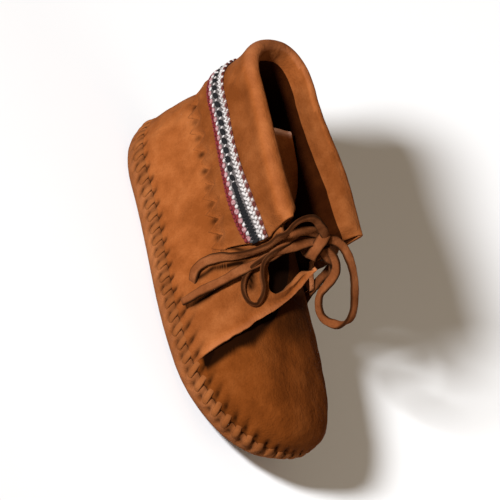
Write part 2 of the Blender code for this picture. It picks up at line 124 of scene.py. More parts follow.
FORM_COLUMNS = ("z", "back", "front", "right_heel", "right_ball", "left_heel", "left_ball",
                "toe_cap", "heel_cap", "square")
FORM_ROWS = [
    (0.0, 8.0, 116.0, 16.0, 21.8, 16.0, 21.8, 31.0, 19.0, 2.30),
    (1.5, 5.8, 121.0, 18.6, 25.4, 19.0, 25.8, 35.0, 21.0, 2.42),
    (4.0, 4.2, 124.7, 20.3, 27.7, 21.0, 28.6, 38.0, 23.0, 2.52),
    (7.0, 3.4, 126.0, 21.1, 28.8, 21.8, 30.0, 39.0, 23.0, 2.58),
    (12.0, 3.0, 126.2, 21.3, 28.6, 21.8, 30.4, 39.0, 23.0, 2.58),
    (18.0, 2.6, 125.4, 20.9, 26.9, 21.0, 29.4, 39.0, 21.0, 2.52),
    (22.0, 2.5, 123.5, 20.4, 25.0, 20.4, 27.4, 40.0, 20.0, 2.44),
    (25.0, 2.5, 120.8, 20.1, 23.7, 20.0, 25.8, 41.0, 19.0, 2.36),
    (27.6, 2.6, 115.5, 19.9, 22.4, 19.7, 23.8, 41.0, 18.0, 2.28),
    (30.0, 2.8, 104.0, 19.7, 21.3, 19.3, 21.8, 38.0, 18.0, 2.2),
    (32.4, 3.0, 92.5, 19.5, 20.5, 18.9, 20.2, 35.0, 17.0, 2.2),
    (35.0, 3.1, 83.0, 19.3, 20.0, 18.4, 18.9, 32.0, 17.0, 2.2),
    (38.0, 3.0, 76.5, 19.2, 19.8, 17.7, 17.8, 30.0, 16.0, 2.25),
    (44.0, 2.4, 72.0, 19.2, 20.4, 16.2, 17.6, 28.0, 15.0, 2.4),
    (48.0, 2.0, 71.0, 19.3, 21.2, 14.8, 17.8, 27.0, 15.0, 2.7),
    (52.0, 1.6, 74.0, 19.4, 21.8, 13.2, 18.2, 27.0, 14.0, 3.0),
    (60.0, 0.4, 82.0, 19.8, 22.8, 10.2, 18.6, 26.0, 14.0, 3.2),
]
VAMP_ROWS = FORM_ROWS[:9] + [
    (30.0, 2.8, 103.4, 19.7, 21.0, 19.3, 20.8, 38.0, 18.0, 2.15),
    (32.4, 3.0, 89.5, 19.5, 19.2, 18.9, 18.6, 36.0, 17.0, 2.15),
    (34.5, 3.1, 79.5, 19.3, 17.6, 18.4, 16.6, 34.0, 17.0, 2.15),
    (36.5, 3.0, 71.5, 19.2, 16.0, 17.7, 15.0, 31.0, 16.0, 2.15),
    (38.5, 2.8, 64.0, 19.2, 14.6, 17.2, 13.6, 27.0, 16.0, 2.15),
    (40.5, 2.7, 57.0, 19.2, 13.4, 16.8, 12.4, 24.0, 16.0, 2.15),
]

# c of the quarter's free front edges, and of the vamp's hidden tails
EDGE_COLUMNS = ("z", "flap_right", "flap_left", "tail_right", "tail_left")
EDGE_ROWS = [
    (9.0, 0.318, 0.445, 0.43, 0.54),
    (18.0, 0.321, 0.440, 0.425, 0.53),
    (24.0, 0.303, 0.422, 0.42, 0.52),
    (27.0, 0.280, 0.375, 0.39, 0.49),
    (29.0, 0.245, 0.328, 0.37, 0.47),
    (31.0, 0.193, 0.288, 0.345, 0.43),
    (33.0, 0.132, 0.255, 0.315, 0.385),
    (35.0, 0.071, 0.230, 0.280, 0.335),
    (37.0, 0.020, 0.212, 0.232, 0.275),
    (39.0, 0.000, 0.200, 0.20, 0.22),
    (45.0, -0.015, 0.150, 0.18, 0.18),
    (60.0, -0.015, 0.140, 0.18, 0.18),
]

# heights of the braid's lines against s
BRAID_COLUMNS = ("s", "foot", "beads", "black_low", "black", "black_high", "rope", "head")
BRAID_ROWS = [
    (-3.0, 40.5, 41.5, 42.4, 43.4, 44.5, 45.5, 46.9),
    (15.0, 40.2, 41.3, 42.2, 43.2, 44.3, 45.3, 46.7),
    (30.0, 39.0, 40.3, 41.3, 42.3, 43.4, 44.6, 46.1),
    (40.0, 38.0, 39.5, 40.7, 41.8, 43.0, 44.5, 46.5),
    (50.0, 37.0, 38.9, 40.3, 41.6, 43.0, 44.9, 47.3),
    (66.0, 36.3, 38.4, 39.8, 41.2, 42.8, 45.2, 47.7),
]

# height of the quarter's top against c from its right front edge: a narrow band runs up to the
# bow in front of the deep opening
THROAT_COLUMNS = ("from_edge", "top")
THROAT_ROWS = [
    (0.0, 46.0),
    (0.008, 44.0),
    (0.014, 42.2),
    (0.020, 40.4),
    (0.029, 38.2),
    (0.038, 36.2),
    (0.047, 35.1),
    (0.064, 34.8),
    (0.085, 35.2),
    (0.112, 36.2),
    (0.140, 37.4),
    (0.155, 39.4),
    (0.170, 43.0),
]

TONGUE_COLUMNS = ("s", "z", "half", "droop", "shift")
TONGUE_ROWS = [
    (69.0, 34.4, 7.5, 2.0, -1.5),
    (62.0, 36.2, 8.8, 2.2, -1.4),
    (56.0, 37.9, 10.2, 2.2, -1.2),
    (50.0, 40.6, 11.0, 1.5, -1.2),
    (44.0, 43.8, 11.6, 1.1, -1.6),
    (38.0, 46.2, 12.0, 0.8, -2.2),
    (32.0, 47.8, 11.4, 0.5, -2.6),
    (26.5, 50.2, 9.0, 0.6, -3.4),
]

# the lace: x, s, z of the middle of the thong, and how far its flat side is turned
ARCH = [(-27.6, 69.2, 17.8, 0), (-29.0, 67.8, 19.2, 0), (-28.8, 65.6, 21.0, 10),
        (-28.4, 64.6, 24.6, 20), (-27.6, 65.2, 29.6, 40), (-26.4, 66.4, 33.2, 60),
        (-24.2, 66.9, 36.6, 75), (-22.4, 67.0, 39.9, 80), (-21.4, 66.9, 43.5, 80),
        (-21.2, 66.2, 47.6, 80), (-22.0, 65.9, 51.9, 80), (-22.2, 64.8, 55.2, 85),
        (-21.6, 64.2, 57.6, 90), (-19.4, 63.9, 59.0, 90), (-15.0, 63.9, 58.8, 90),
        (-9.6, 64.8, 57.0, 85), (-4.4, 65.6, 54.8, 70), (-1.0, 66.2, 52.6, 40)]
LOOP_RIGHT = [(-1.6, 65.0, 52.2, -20), (-6.0, 63.8, 51.6, -30), (-10.2, 63.6, 50.2, -30),
              (-13.6, 64.8, 48.4, -20), (-16.4, 66.4, 46.2, 20), (-18.6, 68.3, 43.4, 70),
              (-20.4, 70.8, 40.0, 90), (-19.8, 74.2, 37.5, 90), (-18.8, 77.8, 36.2, 90),
              (-18.8, 80.8, 34.4, 90), (-20.2, 82.4, 32.6, 90), (-22.4, 80.6, 31.5, 90),
              (-23.8, 77.0, 32.0, 90), (-23.6, 73.6, 33.8, 90), (-22.4, 71.4, 36.4, 90),
              (-20.2, 69.8, 39.6, 90), (-17.0, 68.6, 43.4, 70), (-12.6, 67.8, 46.6, 30),
              (-7.6, 67.0, 49.0, 0), (-3.0, 66.8, 50.4, 0)]
END_RIGHT = [(-2.4, 66.0, 49.6, 30), (-6.2, 65.6, 48.2, 20), (-10.2, 66.4, 46.0, 10),
             (-14.2, 67.8, 43.6, 0), (-17.8, 69.2, 40.8, 0), (-21.0, 70.4, 37.8, 0),
             (-24.6, 71.4, 35.2, 0), (-27.2, 72.3, 32.8, 0), (-29.2, 73.2, 30.0, 4),
             (-31.0, 73.8, 26.5, 8), (-32.4, 74.2, 22.6, 12), (-33.6, 75.0, 18.5, 14),
             (-33.9, 75.3, 15.3, 16)]
LOOP_LEFT = [(0.9, 66.3, 53.0, 40), (4.1, 66.9, 53.6, 50), (7.6, 69.3, 53.8, 50),
             (9.7, 73.5, 53.3, 45), (10.9, 78.4, 52.1, 40), (11.1, 83.5, 50.4, 40),
             (11.5, 87.9, 48.1, 45), (11.4, 90.3, 45.3, 50), (10.8, 90.6, 41.6, 50),
             (9.8, 88.7, 38.8, 40), (8.9, 85.7, 37.6, 30), (8.3, 81.9, 38.3, 30),
             (8.2, 78.9, 40.2, 30), (8.6, 77.2, 43.1, 35), (8.5, 75.6, 46.4, 45),
             (7.2, 73.8, 49.2, 55), (5.0, 70.8, 50.6, 60), (2.0, 68.0, 50.8, 50)]
END_LEFT = [(0.6, 68.6, 49.0, 60), (4.0, 70.0, 48.4, 40), (8.0, 71.0, 47.4, 20),
            (12.4, 71.4, 44.4, 0), (16.2, 71.2, 40.4, 0), (19.8, 71.2, 35.2, 0),
            (23.8, 72.2, 28.4, 0), (27.6, 73.8, 21.6, 6), (30.4, 75.6, 14.8, 10)]
BAR_LEFT = [(21.8, 65.1, 30.8, 0), (21.0, 65.8, 35.6, 20), (19.4, 66.2, 40.4, 40),
            (16.6, 66.4, 44.8, 60), (12.0, 66.4, 48.6, 75), (7.0, 66.4, 50.8, 75),
            (1.6, 66.8, 51.4, 60)]
KNOT_MIDDLE = (-2.0, 67.0, 50.4)
KNOT_RISE = (0.28, -0.50, 0.82)      # the way the knot's wrap runs up its face
KNOT_FACE = (-0.84, 0.29, 0.46)
KNOT_ROUND = (4.6, 2.8)              # half sizes of the wrap along those two ways

# soft troughs (depth below 0) and ridges pressed into the hide: half width, depth, x s z line
QUARTER_FOLDS = [
    (3.0, -0.8, [(-29.0, 84.0, 25.0), (-24.0, 80.0, 33.0)]),
    (4.0, -0.7, [(-31.0, 87.0, 19.0), (-31.0, 78.0, 16.0)]),
    (3.0, 0.5, [(-30.0, 70.0, 17.0), (-27.0, 77.0, 27.0)]),
    (5.0, -0.7, [(-25.0, 18.0, 22.0), (-27.0, 34.0, 20.0)]),
    (4.0, -0.5, [(-26.0, 44.0, 18.0), (-28.0, 56.0, 21.0)]),
    (4.0, 0.5, [(-27.0, 48.0, 26.0), (-28.0, 64.0, 16.0)]),
    (5.0, -0.6, [(20.0, 20.0, 21.0), (23.0, 40.0, 18.0)]),
    (3.6, -0.6, [(24.0, 56.0, 22.0), (22.0, 66.0, 30.0)]),
    (5.0, -0.5, [(-6.0, 1.0, 18.0), (6.0, 1.0, 21.0)]),
]
# painted shadow beside and under the lace straps: half width, shade, x s z line
STRAP_SHADOWS = [
    (1.1, -0.95, [(-28.8, 68.3, 19.8), (-27.3, 66.9, 25.8), (-26.3, 68.1, 29.8),
                  (-23.2, 68.5, 34.8), (-20.3, 66.7, 39.2)]),
    (0.9, -0.9, [(-31.4, 76.7, 15.6), (-29.6, 75.6, 21.9), (-27.5, 73.7, 27.0),
                 (-25.3, 71.8, 31.4), (-23.3, 70.1, 34.2)]),
    (1.6, -1.0, [(-21.5, 73.3, 35.0), (-21.9, 76.5, 34.0)]),
    (0.8, -0.8, [(-24.8, 61.0, 27.8), (-25.0, 62.5, 32.0), (-23.1, 65.0, 35.9),
                 (-20.4, 65.5, 41.2)]),
]
VAMP_FOLDS = [
    (5.0, -0.6, [(-18.0, 90.0, 28.0), (-6.0, 96.0, 31.0)]),
    (6.0, 0.5, [(-2.0, 84.0, 34.0), (-3.0, 104.0, 30.0)]),
    (4.5, -0.6, [(14.0, 88.0, 29.0), (18.0, 100.0, 24.0)]),
    (4.5, -0.5, [(-22.0, 104.0, 20.0), (-14.0, 112.0, 22.0)]),
    (5.0, -0.4, [(6.0, 108.0, 26.0), (12.0, 114.0, 20.0)]),
]
CUFF_FOLDS = [
    (4.0, -0.6, [(-26.0, 20.0, 52.0), (-26.0, 30.0, 54.0)]),
    (5.0, -0.5, [(-24.5, 40.0, 56.0), (-26.0, 52.0, 54.0)]),
    (3.0, 0.5, [(-26.0, 30.0, 50.0), (-27.0, 44.0, 49.0)]),
    (4.0, -0.5, [(-25.0, 24.0, 34.0), (-26.0, 34.0, 36.0)]),
    (4.0, -0.5, [(-26.0, 46.0, 33.0), (-27.0, 56.0, 35.0)]),
    (5.0, -0.6, [(14.0, 14.0, 52.0), (16.0, 30.0, 50.0)]),
    (5.0, -0.5, [(17.0, 40.0, 36.0), (18.0, 52.0, 40.0)]),
    (5.0, -0.6, [(-8.0, -2.0, 50.0), (4.0, -2.5, 54.0)]),
]


# -------- curves through the tables
def monotone(xs, ys):
    """Smooth monotone curve through the points, as a function of an array."""
    order = np.argsort(xs)
    xs = np.asarray(xs, float)[order]
    ys = np.asarray(ys, float)[order]
    steps = np.diff(xs)
    slopes = np.diff(ys) / steps
    before, after = slopes[:-1], slopes[1:]
    same = before * after > 0
    middle = np.where(same, 2 * before * after / np.where(same, before + after, 1.0), 0.0)
    tangents = np.concatenate([slopes[:1], middle, slopes[-1:]])

    def value(at):
        at = np.clip(at, xs[0], xs[-1])
        i = np.clip(np.searchsorted(xs, at, side="right") - 1, 0, len(xs) - 2)
        t = (at - xs[i]) / steps[i]
        return (ys[i] * (1 + 2 * t) * (1 - t) ** 2 + tangents[i] * steps[i] * t * (1 - t) ** 2
                + ys[i + 1] * t * t * (3 - 2 * t)
                + tangents[i + 1] * steps[i] * t * t * (t - 1))

    return value


def table(columns, rows):
    """One curve for each named column, against the first one."""
    values = np.array(rows, float)
    curves = {name: monotone(values[:, 0], values[:, k]) for k, name in enumerate(columns)}
    curves["low"], curves["high"] = values[:, 0].min(), values[:, 0].max()
    return curves


FORM = table(FORM_COLUMNS, FORM_ROWS)
VAMP = table(FORM_COLUMNS, VAMP_ROWS)
EDGES = table(EDGE_COLUMNS, EDGE_ROWS)
TONGUE = table(TONGUE_COLUMNS, TONGUE_ROWS)
BRAID = table(BRAID_COLUMNS, BRAID_ROWS)
THROAT = table(THROAT_COLUMNS, THROAT_ROWS)


def ease(t):
    t = np.clip(t, 0.0, 1.0)
    return t * t * (3 - 2 * t)


def mix(low, high, t):
    return low + (high - low) * t


def bump(value, middle, half):
    """1 at the middle, 0 beyond half away, smooth between."""
    return 1.0 - ease(np.abs(value - middle) / half)


def bell(value, middle, half):
    """1 at the middle, falling away without an end."""
    return np.exp(-((value - middle) / half) ** 2)


def unit(v):
    return v / np.maximum(np.linalg.norm(v, axis=-1, keepdims=True), 1e-9)


def distance(line):
    """Distance gone along a line of points."""
    return np.concatenate([[0.0], np.cumsum(np.linalg.norm(np.diff(line, axis=0), axis=1))])


# -------- the shoe's form
def side_of(c):
    """Whether c is on the right side, and how far it is round from toe, 0, to heel, 1."""
    c = np.mod(c, 2.0)
    right = c <= 1.0
    return right, np.where(right, c, 2.0 - c)


def plan(c, z, form):
    """Side distance x and length s of the outline."""
    right, around = side_of(c)
    ball = np.where(right, form["right_ball"](z), form["left_ball"](z))
    heel = np.where(right, form["right_heel"](z), form["left_heel"](z))
    toe_cap, heel_cap = form["toe_cap"](z), form["heel_cap"](z)
    ball_s = form["front"](z) - toe_cap
    heel_s = form["back"](z) + heel_cap
    power, heel_power = 2.0 / form["square"](z), 2.0 / HEEL_SQUARE
    toe_turn = np.clip(around / CAP_END, 0.0, 1.0) * math.pi / 2
    along = np.clip((around - CAP_END) / (HEEL_START - CAP_END), 0.0, 1.0)
    heel_turn = np.clip((around - HEEL_START) / (1 - HEEL_START), 0.0, 1.0) * math.pi / 2
    cos_toe = np.maximum(np.cos(toe_turn), 0.0)
    cos_heel = np.maximum(np.cos(heel_turn), 0.0)
    where = [around < CAP_END, around < HEEL_START]
    s = np.select(where, [ball_s + toe_cap * cos_toe ** power, mix(ball_s, heel_s, along)],
                  heel_s - heel_cap * np.sin(heel_turn) ** heel_power)
    x = np.select(where, [ball * np.sin(toe_turn) ** power, mix(ball, heel, ease(along))],
                  heel * cos_heel ** heel_power)
    return np.where(right, -x, x), s


def sprung(x, s, z):
    """x, s, z bowed sideways and sprung at the toe."""
    bow = SIDE_CURVE * np.sin(math.pi * np.clip(s / LENGTH, 0.0, 1.0))
    along = np.clip((s - SPRING_START) / (LENGTH - SPRING_START), 0.0, 1.0)
    fade = np.clip((SPRING_TOP - z) / SPRING_FADE, 0.0, 1.0)
    return np.stack([x + bow, s, z + TOE_SPRING * along ** 2 * fade], axis=-1)


def shoe_point(c, z, form):
    """x, s, z of the form."""
    return sprung(*plan(c, z, form), z)


def to_frame(points):
    """From x, s, z in millimetres to metres in the frame."""
    points = np.asarray(points, float)
    return np.stack([points[..., 0] - MIDDLE_X, MIDDLE_S - points[..., 1], points[..., 2]],
                    axis=-1) * MM


def shoe_surface(c, z, form):
    """Point of the form and its outward normal, both in shoe sizes."""
    c, z = np.broadcast_arrays(np.asarray(c, float), np.asarray(z, float))
    low = np.maximum(z - 0.4, form["low"])
    high = np.minimum(z + 0.4, form["high"])
    up = shoe_point(c, high, form) - shoe_point(c, low, form)
    around = shoe_point(c + 0.004, z, form) - shoe_point(c - 0.004, z, form)
    return shoe_point(c, z, form), unit(np.cross(around, up))


def around_at(s, z, side):
    """c, from 0 to 1, where the outline at height z is s from the heel's back."""
    low, high = np.zeros_like(z), np.ones_like(z)
    for _ in range(40):
        middle = (low + high) / 2
        c = middle if side == "right" else 2.0 - middle
        ahead = plan(c, z, FORM)[1] > s
        low = np.where(ahead, middle, low)
        high = np.where(ahead, high, middle)
    return (low + high) / 2


def folds(points, lines):
    """Sum of the soft troughs and ridges at each point."""
    total = np.zeros(points.shape[:-1])
    for half, depth, line in lines:
        nearest = np.full(points.shape[:-1], 1e9)
        for start, end in zip(np.array(line[:-1]), np.array(line[1:])):
            span = end - start
            t = np.clip(((points - start) @ span) / (span @ span), 0.0, 1.0)
            gap = np.linalg.norm(points - (start + t[..., None] * span), axis=-1)
            nearest = np.minimum(nearest, gap)
        total += depth * bell(nearest, 0.0, half)
    return total


def waves(points, sizes):
    """Gentle unevenness of soft hide, from a few crossing waves."""
    x, s, z = points[..., 0], points[..., 1], points[..., 2]
    total = np.zeros(x.shape)
    for k, (size, height) in enumerate(sizes):
        turn = 1.3 * k + 0.7
        a = (x * math.cos(turn) + s * math.sin(turn) + 0.6 * z) / size
        b = (s * math.cos(turn + 1.1) - z * 1.2 + 0.4 * x) / size
        total += height * np.sin(a * 2 * math.pi + k) * np.sin(b * 2 * math.pi * 0.83 + 2.0 * k)
    return total


# -------- the seam's stitches
def seam_phase():
    """Stitch number against c, denser behind the flaps, and the number of stitches."""
    c = np.linspace(0.0, 2.0, 1601)
    line = shoe_point(c, np.full_like(c, SEAM_Z), FORM)
    step = np.linalg.norm(np.diff(line, axis=0), axis=1)
    middle = (c[1:] + c[:-1]) / 2
    pitch = mix(STITCH_TOE, STITCH_BACK, toe_fade(middle))
    number = np.concatenate([[0.0], np.cumsum(step / pitch)])
    count = round(number[-1])
    return c, number * count / number[-1], count


def toe_fade(c):
    """0 round the toe where the vamp is gathered, 1 behind the flaps."""
    return ease((side_of(c)[1] - 0.40) / 0.10)


SEAM_C, SEAM_NUMBER, STITCHES = seam_phase()


def stitch_c(number):
    """c at the seam of a stitch, or of a place between two."""
    return np.interp(np.mod(number, STITCHES), SEAM_NUMBER, SEAM_C)


def stitch_lean(c, z):
    """How many pitches on a stitch has come at height z: it leans as it goes up."""
    return (z - SEAM_Z) * mix(0.122, 0.080, toe_fade(c))


def stitch_top(c):
    """Height of the upper holes."""
    return mix(STITCH_HIGH_TOE, STITCH_HIGH_BACK, toe_fade(c))


def pucker(c, z):
    """Hide drawn in at the stitch holes and between them, and the painted shade there."""
    at = np.interp(np.mod(c, 2.0), SEAM_C, SEAM_NUMBER) - stitch_lean(c, z)
    groove = (1 - np.cos(2 * math.pi * at)) / 2
    back = toe_fade(c)
    high = stitch_top(c)
    band = ease((z - STITCH_LOW + 1.6) / 1.8) * (1 - ease((z - high) / mix(5.0, 2.0, back)))
    lower = bell(z, STITCH_LOW + 0.7, 1.0) * groove ** 5
    upper = bell(z, high - 0.5, 1.0) * groove ** 5
    depth = mix(0.75, 0.50, back) * band * groove ** 1.5
    between = groove ** 4 * band * mix(0.48, 0.45, back)
    dark = between + mix(0.50, 0.85, back) * lower + mix(0.34, 0.45, back) * upper
    return -depth - 0.6 * (lower + upper), np.clip(dark, 0.0, 1.0)


def seam_tuck(z, at):
    """The edge rolls in where it meets the other side of the seam."""
    return -1.1 * bell(z, at, 0.75)


# -------- meshes
def add_object(name, data):
    obj = bpy.data.objects.new(name, data)
    bpy.context.scene.collection.objects.link(obj)
    return obj


def add_piece(name, points, faces, mats, replaces=(), shades=None):
    """A mesh object from points in shoe sizes, riding on the shoe."""
    mesh = bpy.data.meshes.new(name)
    mesh.from_pydata(to_frame(points).reshape(-1, 3).tolist(), [], faces)
    mesh.update()
    mesh.polygons.foreach_set("use_smooth", [True] * len(mesh.polygons))
    for mat in mats:
        mesh.materials.append(mat)
    if shades is not None:
        layer = mesh.attributes.new("shade", "FLOAT", "POINT")
        layer.data.foreach_set("value", np.asarray(shades, float).ravel())
    obj = add_object(name, mesh)
    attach(obj, "root")
    if replaces:
        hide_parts(*replaces)
    return obj


def add_sheet(name, points, wall, mats, replaces=(), shades=None, closed=False):
    """A piece from a grid whose rows run upward and columns the way c runs.

    Its wall grows inward. Where mats has as many, the wall's back has a face's next material
    and its cut edge the one after.
    """
    rows, columns = points.shape[:2]
    faces = []
    for r in range(rows - 1):
        for k in range(columns if closed else columns - 1):
            n = (k + 1) % columns
            faces.append((r * columns + k, (r + 1) * columns + k, (r + 1) * columns + n,
                          r * columns + n))
    obj = add_piece(name, points, faces, mats, replaces, shades)
    shell = obj.modifiers.new("wall", "SOLIDIFY")
    shell.thickness = wall * MM
    shell.offset = -1.0
    shell.use_even_offset = False
    shell.material_offset = min(1, len(mats) - 1)
    shell.material_offset_rim = min(2, len(mats) - 1)
    return obj


def tube_faces(rings, sides, base=0):
    """Quads between a tube's rings, and its two end faces; its first vertex is base."""
    faces = []
    for r in range(rings - 1):
        for k in range(sides):
            here = base + r * sides + k
            beside = base + r * sides + (k + 1) % sides
            faces.append((here, beside, beside + sides, here + sides))
    faces.append(tuple(base + k for k in reversed(range(sides))))
    faces.append(tuple(base + (rings - 1) * sides + k for k in range(sides)))
    return faces


def weld(obj):
    """Join the two halves of a sheet along its middle line."""
    form = bmesh.new()
    form.from_mesh(obj.data)
    bmesh.ops.remove_doubles(form, verts=form.verts, dist=0.02 * MM)
    form.to_mesh(obj.data)
    form.free()


def spaced_heights(form, low, high, count):
    """Heights whose rows lie evenly along the form's profile."""
    z = np.linspace(low, high, 600)
    steps = np.zeros(len(z) - 1)
    for c in (0.0, 0.2, 0.34):
        line = shoe_point(np.full_like(z, c), z, form)
        steps = np.maximum(steps, np.linalg.norm(np.diff(line, axis=0), axis=1))
    travelled = np.concatenate([[0.0], np.cumsum(steps)])
    return np.interp(np.linspace(0.0, travelled[-1], count), travelled, z)


# -------- materials
def fill(tree, node, inputs):
    """Give a node's inputs numbers, colours or the outputs of other nodes."""
    for name, value in inputs.items():
        if isinstance(value, bpy.types.NodeSocket):
            tree.links.new(value, node.inputs[name])
        else:
            color = isinstance(value, tuple)
            node.inputs[name].default_value = (*value, 1.0) if color else value


def nodes_of(name):
    mat = bpy.data.materials.new(name)
    mat.use_nodes = True
    tree = mat.node_tree
    return mat, tree, tree.nodes["Principled BSDF"]


def noise(tree, coords, scale, detail=3.0, rough=0.55):
    node = tree.nodes.new("ShaderNodeTexNoise")
    fill(tree, node, {"Vector": coords, "Scale": scale, "Detail": detail, "Roughness": rough})
    return node.outputs["Fac"]


def ramp(tree, value, stops):
    node = tree.nodes.new("ShaderNodeValToRGB")
    while len(node.color_ramp.elements) < len(stops):
        node.color_ramp.elements.new(0.5)
    for element, (at, color) in zip(node.color_ramp.elements, stops):
        element.position = at
        element.color = (*color, 1.0)
    fill(tree, node, {"Fac": value})
    return node.outputs["Color"]


def blend_color(tree, amount, first, second):
    node = tree.nodes.new("ShaderNodeMix")
    node.data_type = "RGBA"
    fill(tree, node, {0: amount, 6: first, 7: second})
    return node.outputs[2]


def math_node(tree, kind, first, second, clamp=False):
    node = tree.nodes.new("ShaderNodeMath")
    node.operation = kind
    node.use_clamp = clamp
    fill(tree, node, {0: first, 1: second})
    return node.outputs[0]


def bumps(tree, height, strength, depth, under=None):
    """Normal of a rough surface, laid over another one's."""
    node = tree.nodes.new("ShaderNodeBump")
    fill(tree, node, {"Height": height, "Strength": strength, "Distance": depth})
    if under is not None:
        fill(tree, node, {"Normal": under})
    return node.outputs["Normal"]


def suede(name, dark, middle, light, nap=1.0, sheen=0.02, shade=True, pale=None):
    """Brushed hide: blotches of nap lying both ways, fine fibres, painted shade and highlights.
    """
    mat, tree, shader = nodes_of(name)
    coords = tree.nodes.new("ShaderNodeTexCoord").outputs["Object"]
    fibre = noise(tree, coords, 1500.0, 3.0, 0.6)
    blotches = 0.0
    for height, share in ((noise(tree, coords, 38.0), 0.45),
                          (noise(tree, coords, 150.0, 4.0, 0.62), 0.40), (fibre, 0.15)):
        part = math_node(tree, "MULTIPLY", height, share)
        blotches = math_node(tree, "ADD", blotches, part)
    color = ramp(tree, blotches, [(0.38, dark), (0.50, middle), (0.62, light)])
    if shade:
        # the shade attribute mixes in painted shade, toward near black, and painted highlight,
        # toward pale
        attribute = tree.nodes.new("ShaderNodeAttribute")
        attribute.attribute_name = "shade"
        deep = tuple(value * 0.05 for value in dark)
        pale = pale or tuple(min(1.0, value * 1.35 + 0.02) for value in light)
        for sign, end in ((-1.0, deep), (1.0, pale)):
            amount = math_node(tree, "MULTIPLY", attribute.outputs["Fac"], sign, clamp=True)
            color = blend_color(tree, amount, color, end)
    fine = bumps(tree, fibre, 0.70 * nap, 0.00030)
    coarse = bumps(tree, noise(tree, coords, 330.0, 4.0, 0.6), 0.60 * nap, 0.0009, fine)
    fill(tree, shader, {"Base Color": color, "Roughness": 0.93, "Specular IOR Level": 0.01,
                        "Sheen Weight": sheen, "Sheen Roughness": 0.55,
                        "Sheen Tint": (1.0, 0.5, 0.25), "Normal": coarse})
    return mat


def yarn(name, color, dark):
    """Twisted cotton yarn of the braid."""
    mat, tree, shader = nodes_of(name)
    coords = tree.nodes.new("ShaderNodeTexCoord").outputs["Object"]
    strands = noise(tree, coords, 1800.0, 2.0)
    fill(tree, shader, {"Base Color": ramp(tree, strands, [(0.35, dark), (0.6, color)]),
                        "Roughness": 0.85, "Specular IOR Level": 0.15,
                        "Normal": bumps(tree, strands, 0.5, 0.0002)})
    return mat


GOLD = suede("gold_suede", (0.112, 0.029, 0.0058), (0.150, 0.042, 0.0098),
             (0.190, 0.059, 0.016))
# darker than the gold suede: painted shade for the vamp's upward faces
VAMP_SUEDE = suede("vamp_suede", (0.062, 0.0150, 0.0022), (0.086, 0.0215, 0.0034),
                   (0.110, 0.030, 0.0058), sheen=0.008)
# the flesh side inside, made near black: painted shade of the shoe's inside
SHADED_FLESH = suede("flesh_side_painted_shade", (0.010, 0.0020, 0.0003), (0.014, 0.0030, 0.0005),
              (0.020, 0.0046, 0.0008), sheen=0.0, shade=False)
CUT = suede("cut_edge", (0.13, 0.038, 0.010), (0.17, 0.053, 0.015), (0.21, 0.070, 0.023))
SOLE_SUEDE = suede("sole_suede", (0.105, 0.031, 0.008), (0.143, 0.046, 0.014),
                   (0.185, 0.064, 0.021))
THREAD = suede("stitch_thong", (0.13, 0.039, 0.010), (0.17, 0.054, 0.015),
               (0.22, 0.075, 0.023), nap=0.6)
THONG = suede("thong_suede", (0.072, 0.020, 0.0055), (0.105, 0.032, 0.010),
              (0.145, 0.049, 0.017), nap=0.8)
# lighter than the gold suede: painted light on the tongue in the collar's shade; pale is its
# painted highlight
TONGUE_SUEDE = suede("tongue_suede", (0.160, 0.044, 0.010), (0.215, 0.064, 0.016),
                     (0.280, 0.090, 0.025), pale=(0.90, 0.55, 0.42))
# the tongue's cut edge, made pale: painted highlight on an edge that lies in shade
PALE_EDGE_HIGHLIGHT = suede("pale_cut_edge_painted_highlight", (0.40, 0.18, 0.11), (0.50, 0.24, 0.15), (0.60, 0.30, 0.20))
INSOLE_HIDE = suede("insole_hide", (0.05, 0.014, 0.004), (0.07, 0.020, 0.006),
                    (0.09, 0.028, 0.010), shade=False)
WHITE = yarn("braid_white", (0.37, 0.35, 0.345), (0.17, 0.152, 0.146))
PINK = yarn("braid_pink", (0.25, 0.150, 0.155), (0.13, 0.05, 0.055))
GREY = yarn("braid_grey", (0.075, 0.066, 0.064), (0.03, 0.026, 0.026))
BLACK = yarn("braid_black", (0.004, 0.004, 0.005), (0.002, 0.002, 0.0025))
RED = yarn("braid_red", (0.11, 0.011, 0.014), (0.055, 0.005, 0.006))
MAROON = yarn("braid_maroon", (0.075, 0.015, 0.011), (0.04, 0.008, 0.006))
DUSKY = yarn("braid_dusky", (0.15, 0.085, 0.075), (0.08, 0.04, 0.035))


# -------- camera and lights
def make_camera():
    """From the right side and a little in front, above, with the shoe's toe rolled down."""
    azimuth, rise, roll = map(math.radians, (CAMERA_AZIMUTH, CAMERA_RISE, CAMERA_ROLL))
    back = Vector((math.sin(azimuth) * math.cos(rise), -math.cos(azimuth) * math.cos(rise),
                   math.sin(rise)))
    level = Vector((math.cos(azimuth), math.sin(azimuth), 0.0))
    above = back.cross(level)
    right = level * math.cos(roll) + above * math.sin(roll)
    up = above * math.cos(roll) - level * math.sin(roll)
    data = bpy.data.cameras.new("camera")
    data.lens = 221.0
    data.sensor_width = 36.0
    data.clip_start = 0.01
    camera = add_object("camera", data)
    # back has a length of 1, so the camera stands 1 m away
    place = Vector(CAMERA_TARGET) + (up - right) * CAMERA_DOWN_RIGHT + back
    turn = Matrix((right, up, back)).transposed()
    camera.matrix_world = Matrix.Translation(place) @ turn.to_4x4()
    bpy.context.scene.camera = camera


def area_light(name, place, at, size, power, color=(1.0, 1.0, 1.0)):
    data = bpy.data.lights.new(name, "AREA")
    data.shape = "DISK"
    data.size = size
    data.energy = power
    data.color = color
    light = add_object(name, data)
    light.location = place
    light.rotation_euler = (Vector(at) - Vector(place)).to_track_quat("-Z", "Y").to_euler()
    return light


def even_falloff(light, reach):
    """Stronger with distance, so that a level floor is lit evenly; at its reach unchanged."""
    light.data.use_nodes = True
    tree = light.data.node_tree
    path = tree.nodes.new("ShaderNodeLightPath")
    farther = math_node(tree, "DIVIDE", path.outputs["Ray Length"], reach)
    fill(tree, tree.nodes["Emission"], {"Strength": math_node(tree, "POWER", farther, 3.0)})


